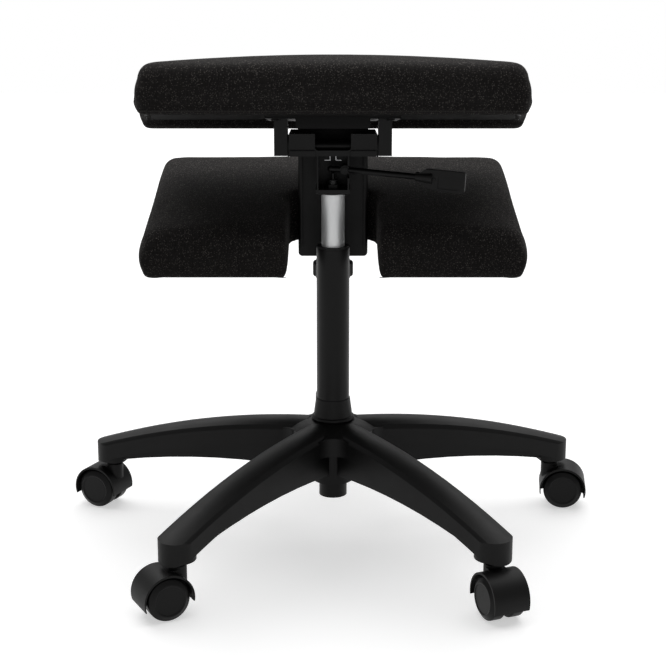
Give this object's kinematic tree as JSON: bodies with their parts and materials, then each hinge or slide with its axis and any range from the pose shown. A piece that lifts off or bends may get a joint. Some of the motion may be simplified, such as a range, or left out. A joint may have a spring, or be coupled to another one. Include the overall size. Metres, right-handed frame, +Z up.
{
  "type": "kneeling chair",
  "caption": "Kneeling chair: padded seat and U-shaped knee pad on a gas-lift column, with tilt, knee slide and a star base on twin-wheel casters.",
  "frame": {"origin": "on the floor, on the axis of the column", "axes": "+Z up, +Y towards the sitter's front, +X to the sitter's right"},
  "size_m": [0.674, 0.6457, 0.6069],
  "materials": {
    "seat_fabric": "black woven upholstery with fine pale flecks",
    "knee_fabric": "black woven upholstery with fine pale flecks",
    "plywood": "black-stained plywood",
    "nylon": "black moulded nylon, fine grain",
    "wheel_plastic": "black moulded plastic",
    "black_steel": "black powder coat or blackened steel",
    "chrome_steel": "bright ground steel",
    "plain_steel": "zinc-plated steel",
    "soft_plastic": "black moulded grip",
    "rubber_black": "black rubber",
    "bush_plastic": "black acetal"
  },
  "bodies": {
    "base": {"base_star": "nylon", "hub_collar": "nylon", "column_tube": "black_steel", "guide_bush": "bush_plastic", "thrust_bearing": "plain_steel"},
    "spring_rod": {"piston_rod": "chrome_steel", "piston": "plain_steel", "rod_clip": "plain_steel", "bump_stop": "rubber_black"},
    "carriage": {"gas_cylinder": "chrome_steel", "cylinder_end_guide": "bush_plastic", "stud_nut": "black_steel", "mechanism_housing": "black_steel", "tilt_yoke": "black_steel", "pivot_sleeve": "black_steel", "pivot_bolt": "black_steel", "friction_washers": "bush_plastic", "lever_pivot_pin": "black_steel", "lever_spring": "plain_steel", "knee_arm": "black_steel", "arm_bolts": "black_steel"},
    "valve_pin": {"release_pin": "black_steel"},
    "lever": {"release_lever": "black_steel", "lever_paddle": "soft_plastic"},
    "seat": {"seat_ears": "black_steel", "seat_plate": "black_steel", "seat_screws": "black_steel", "seat_board": "plywood", "seat_cushion": "seat_fabric"},
    "knee_pad": {"mount_plate": "black_steel", "slot_bolts": "plain_steel", "knee_screws": "black_steel", "knee_board": "plywood", "knee_cushion": "knee_fabric"},
    "knob": {"knee_knob": "soft_plastic"},
    "caster_front": {"caster_front_hood": "nylon", "caster_front_stem": "black_steel", "caster_front_axle": "plain_steel"},
    "caster_front_wheel_1": {"caster_front_wheel_1": "wheel_plastic"},
    "caster_front_wheel_2": {"caster_front_wheel_2": "wheel_plastic"},
    "caster_right": {"caster_right_hood": "nylon", "caster_right_stem": "black_steel", "caster_right_axle": "plain_steel"},
    "caster_right_wheel_1": {"caster_right_wheel_1": "wheel_plastic"},
    "caster_right_wheel_2": {"caster_right_wheel_2": "wheel_plastic"},
    "caster_rear_right": {"caster_rear_right_hood": "nylon", "caster_rear_right_stem": "black_steel", "caster_rear_right_axle": "plain_steel"},
    "caster_rear_right_wheel_1": {"caster_rear_right_wheel_1": "wheel_plastic"},
    "caster_rear_right_wheel_2": {"caster_rear_right_wheel_2": "wheel_plastic"},
    "caster_rear_left": {"caster_rear_left_hood": "nylon", "caster_rear_left_stem": "black_steel", "caster_rear_left_axle": "plain_steel"},
    "caster_rear_left_wheel_1": {"caster_rear_left_wheel_1": "wheel_plastic"},
    "caster_rear_left_wheel_2": {"caster_rear_left_wheel_2": "wheel_plastic"},
    "caster_left": {"caster_left_hood": "nylon", "caster_left_stem": "black_steel", "caster_left_axle": "plain_steel"},
    "caster_left_wheel_1": {"caster_left_wheel_1": "wheel_plastic"},
    "caster_left_wheel_2": {"caster_left_wheel_2": "wheel_plastic"}
  },
  "joints": [
    {"name": "seat_swivel", "type": "hinge", "parent": "base", "child": "spring_rod", "pos_m": [0, 0, 0.06], "axis": [0, 0, 1], "continuous": true},
    {"name": "seat_lift", "type": "slide", "parent": "spring_rod", "child": "carriage", "axis": [0, 0, 1], "range_m": [-0.06, 0.06]},
    {"name": "lever_lift", "type": "hinge", "parent": "carriage", "child": "lever", "pos_m": [0.014, 0, 0.4612], "axis": [0, -1, 0], "range_deg": [0, 6], "stiffness_Nm_per_rad": 0.9, "springref_deg": -11.46},
    {"name": "valve_press", "type": "slide", "parent": "carriage", "child": "valve_pin", "axis": [0, 0, 1], "range_m": [-0.0015, 0]},
    {"name": "seat_tilt", "type": "hinge", "parent": "carriage", "child": "seat", "pos_m": [0, -0.03, 0.4945], "axis": [1, 0, 0], "range_deg": [-5, 5]},
    {"name": "knee_slide", "type": "slide", "parent": "carriage", "child": "knee_pad", "axis": [0, 0.9877, 0.1564], "range_m": [0, 0.06]},
    {"name": "knob_turn", "type": "hinge", "parent": "knee_pad", "child": "knob", "pos_m": [0, 0.085, 0.34828], "axis": [0, -0.1564, 0.9877], "continuous": true},
    {"name": "caster_front_swivel", "type": "hinge", "parent": "base", "child": "caster_front", "pos_m": [-0.00314, 0.29998, 0.08], "axis": [0, 0, 1], "continuous": true},
    {"name": "caster_front_roll_1", "type": "hinge", "parent": "caster_front", "child": "caster_front_wheel_1", "pos_m": [0.00066, 0.31788, 0.025], "axis": [-0.9781, 0.2079, 0], "continuous": true},
    {"name": "caster_front_roll_2", "type": "hinge", "parent": "caster_front", "child": "caster_front_wheel_2", "pos_m": [0.00066, 0.31788, 0.025], "axis": [-0.9781, 0.2079, 0], "continuous": true},
    {"name": "caster_right_swivel", "type": "hinge", "parent": "base", "child": "caster_right", "pos_m": [0.28433, 0.09569, 0.08], "axis": [0, 0, 1], "continuous": true},
    {"name": "caster_right_roll_1", "type": "hinge", "parent": "caster_right", "child": "caster_right_wheel_1", "pos_m": [0.30253, 0.09377, 0.025], "axis": [0.1045, 0.9945, 0], "continuous": true},
    {"name": "caster_right_roll_2", "type": "hinge", "parent": "caster_right", "child": "caster_right_wheel_2", "pos_m": [0.30253, 0.09377, 0.025], "axis": [0.1045, 0.9945, 0], "continuous": true},
    {"name": "caster_rear_right_swivel", "type": "hinge", "parent": "base", "child": "caster_rear_right", "pos_m": [0.17887, -0.24085, 0.08], "axis": [0, 0, 1], "continuous": true},
    {"name": "caster_rear_right_roll_1", "type": "hinge", "parent": "caster_rear_right", "child": "caster_rear_right_wheel_1", "pos_m": [0.18602, -0.25769, 0.025], "axis": [0.9205, 0.3907, 0], "continuous": true},
    {"name": "caster_rear_right_roll_2", "type": "hinge", "parent": "caster_rear_right", "child": "caster_rear_right_wheel_2", "pos_m": [0.18602, -0.25769, 0.025], "axis": [0.9205, 0.3907, 0], "continuous": true},
    {"name": "caster_rear_left_swivel", "type": "hinge", "parent": "base", "child": "caster_rear_left", "pos_m": [-0.17378, -0.24454, 0.08], "axis": [0, 0, 1], "continuous": true},
    {"name": "caster_rear_left_roll_1", "type": "hinge", "parent": "caster_rear_left", "child": "caster_rear_left_wheel_1", "pos_m": [-0.19009, -0.25285, 0.025], "axis": [0.454, -0.891, 0], "continuous": true},
    {"name": "caster_rear_left_roll_2", "type": "hinge", "parent": "caster_rear_left", "child": "caster_rear_left_wheel_2", "pos_m": [-0.19009, -0.25285, 0.025], "axis": [0.454, -0.891, 0], "continuous": true},
    {"name": "caster_left_swivel", "type": "hinge", "parent": "base", "child": "caster_left", "pos_m": [-0.28627, 0.08971, 0.08], "axis": [0, 0, 1], "continuous": true},
    {"name": "caster_left_roll_1", "type": "hinge", "parent": "caster_left", "child": "caster_left_wheel_1", "pos_m": [-0.30272, 0.09773, 0.025], "axis": [-0.4384, -0.8988, 0], "continuous": true},
    {"name": "caster_left_roll_2", "type": "hinge", "parent": "caster_left", "child": "caster_left_wheel_2", "pos_m": [-0.30272, 0.09773, 0.025], "axis": [-0.4384, -0.8988, 0], "continuous": true}
  ],
  "couplings": [
    {"joint": "valve_press", "follows": "lever_lift", "m_per_rad": -0.014}
  ]
}
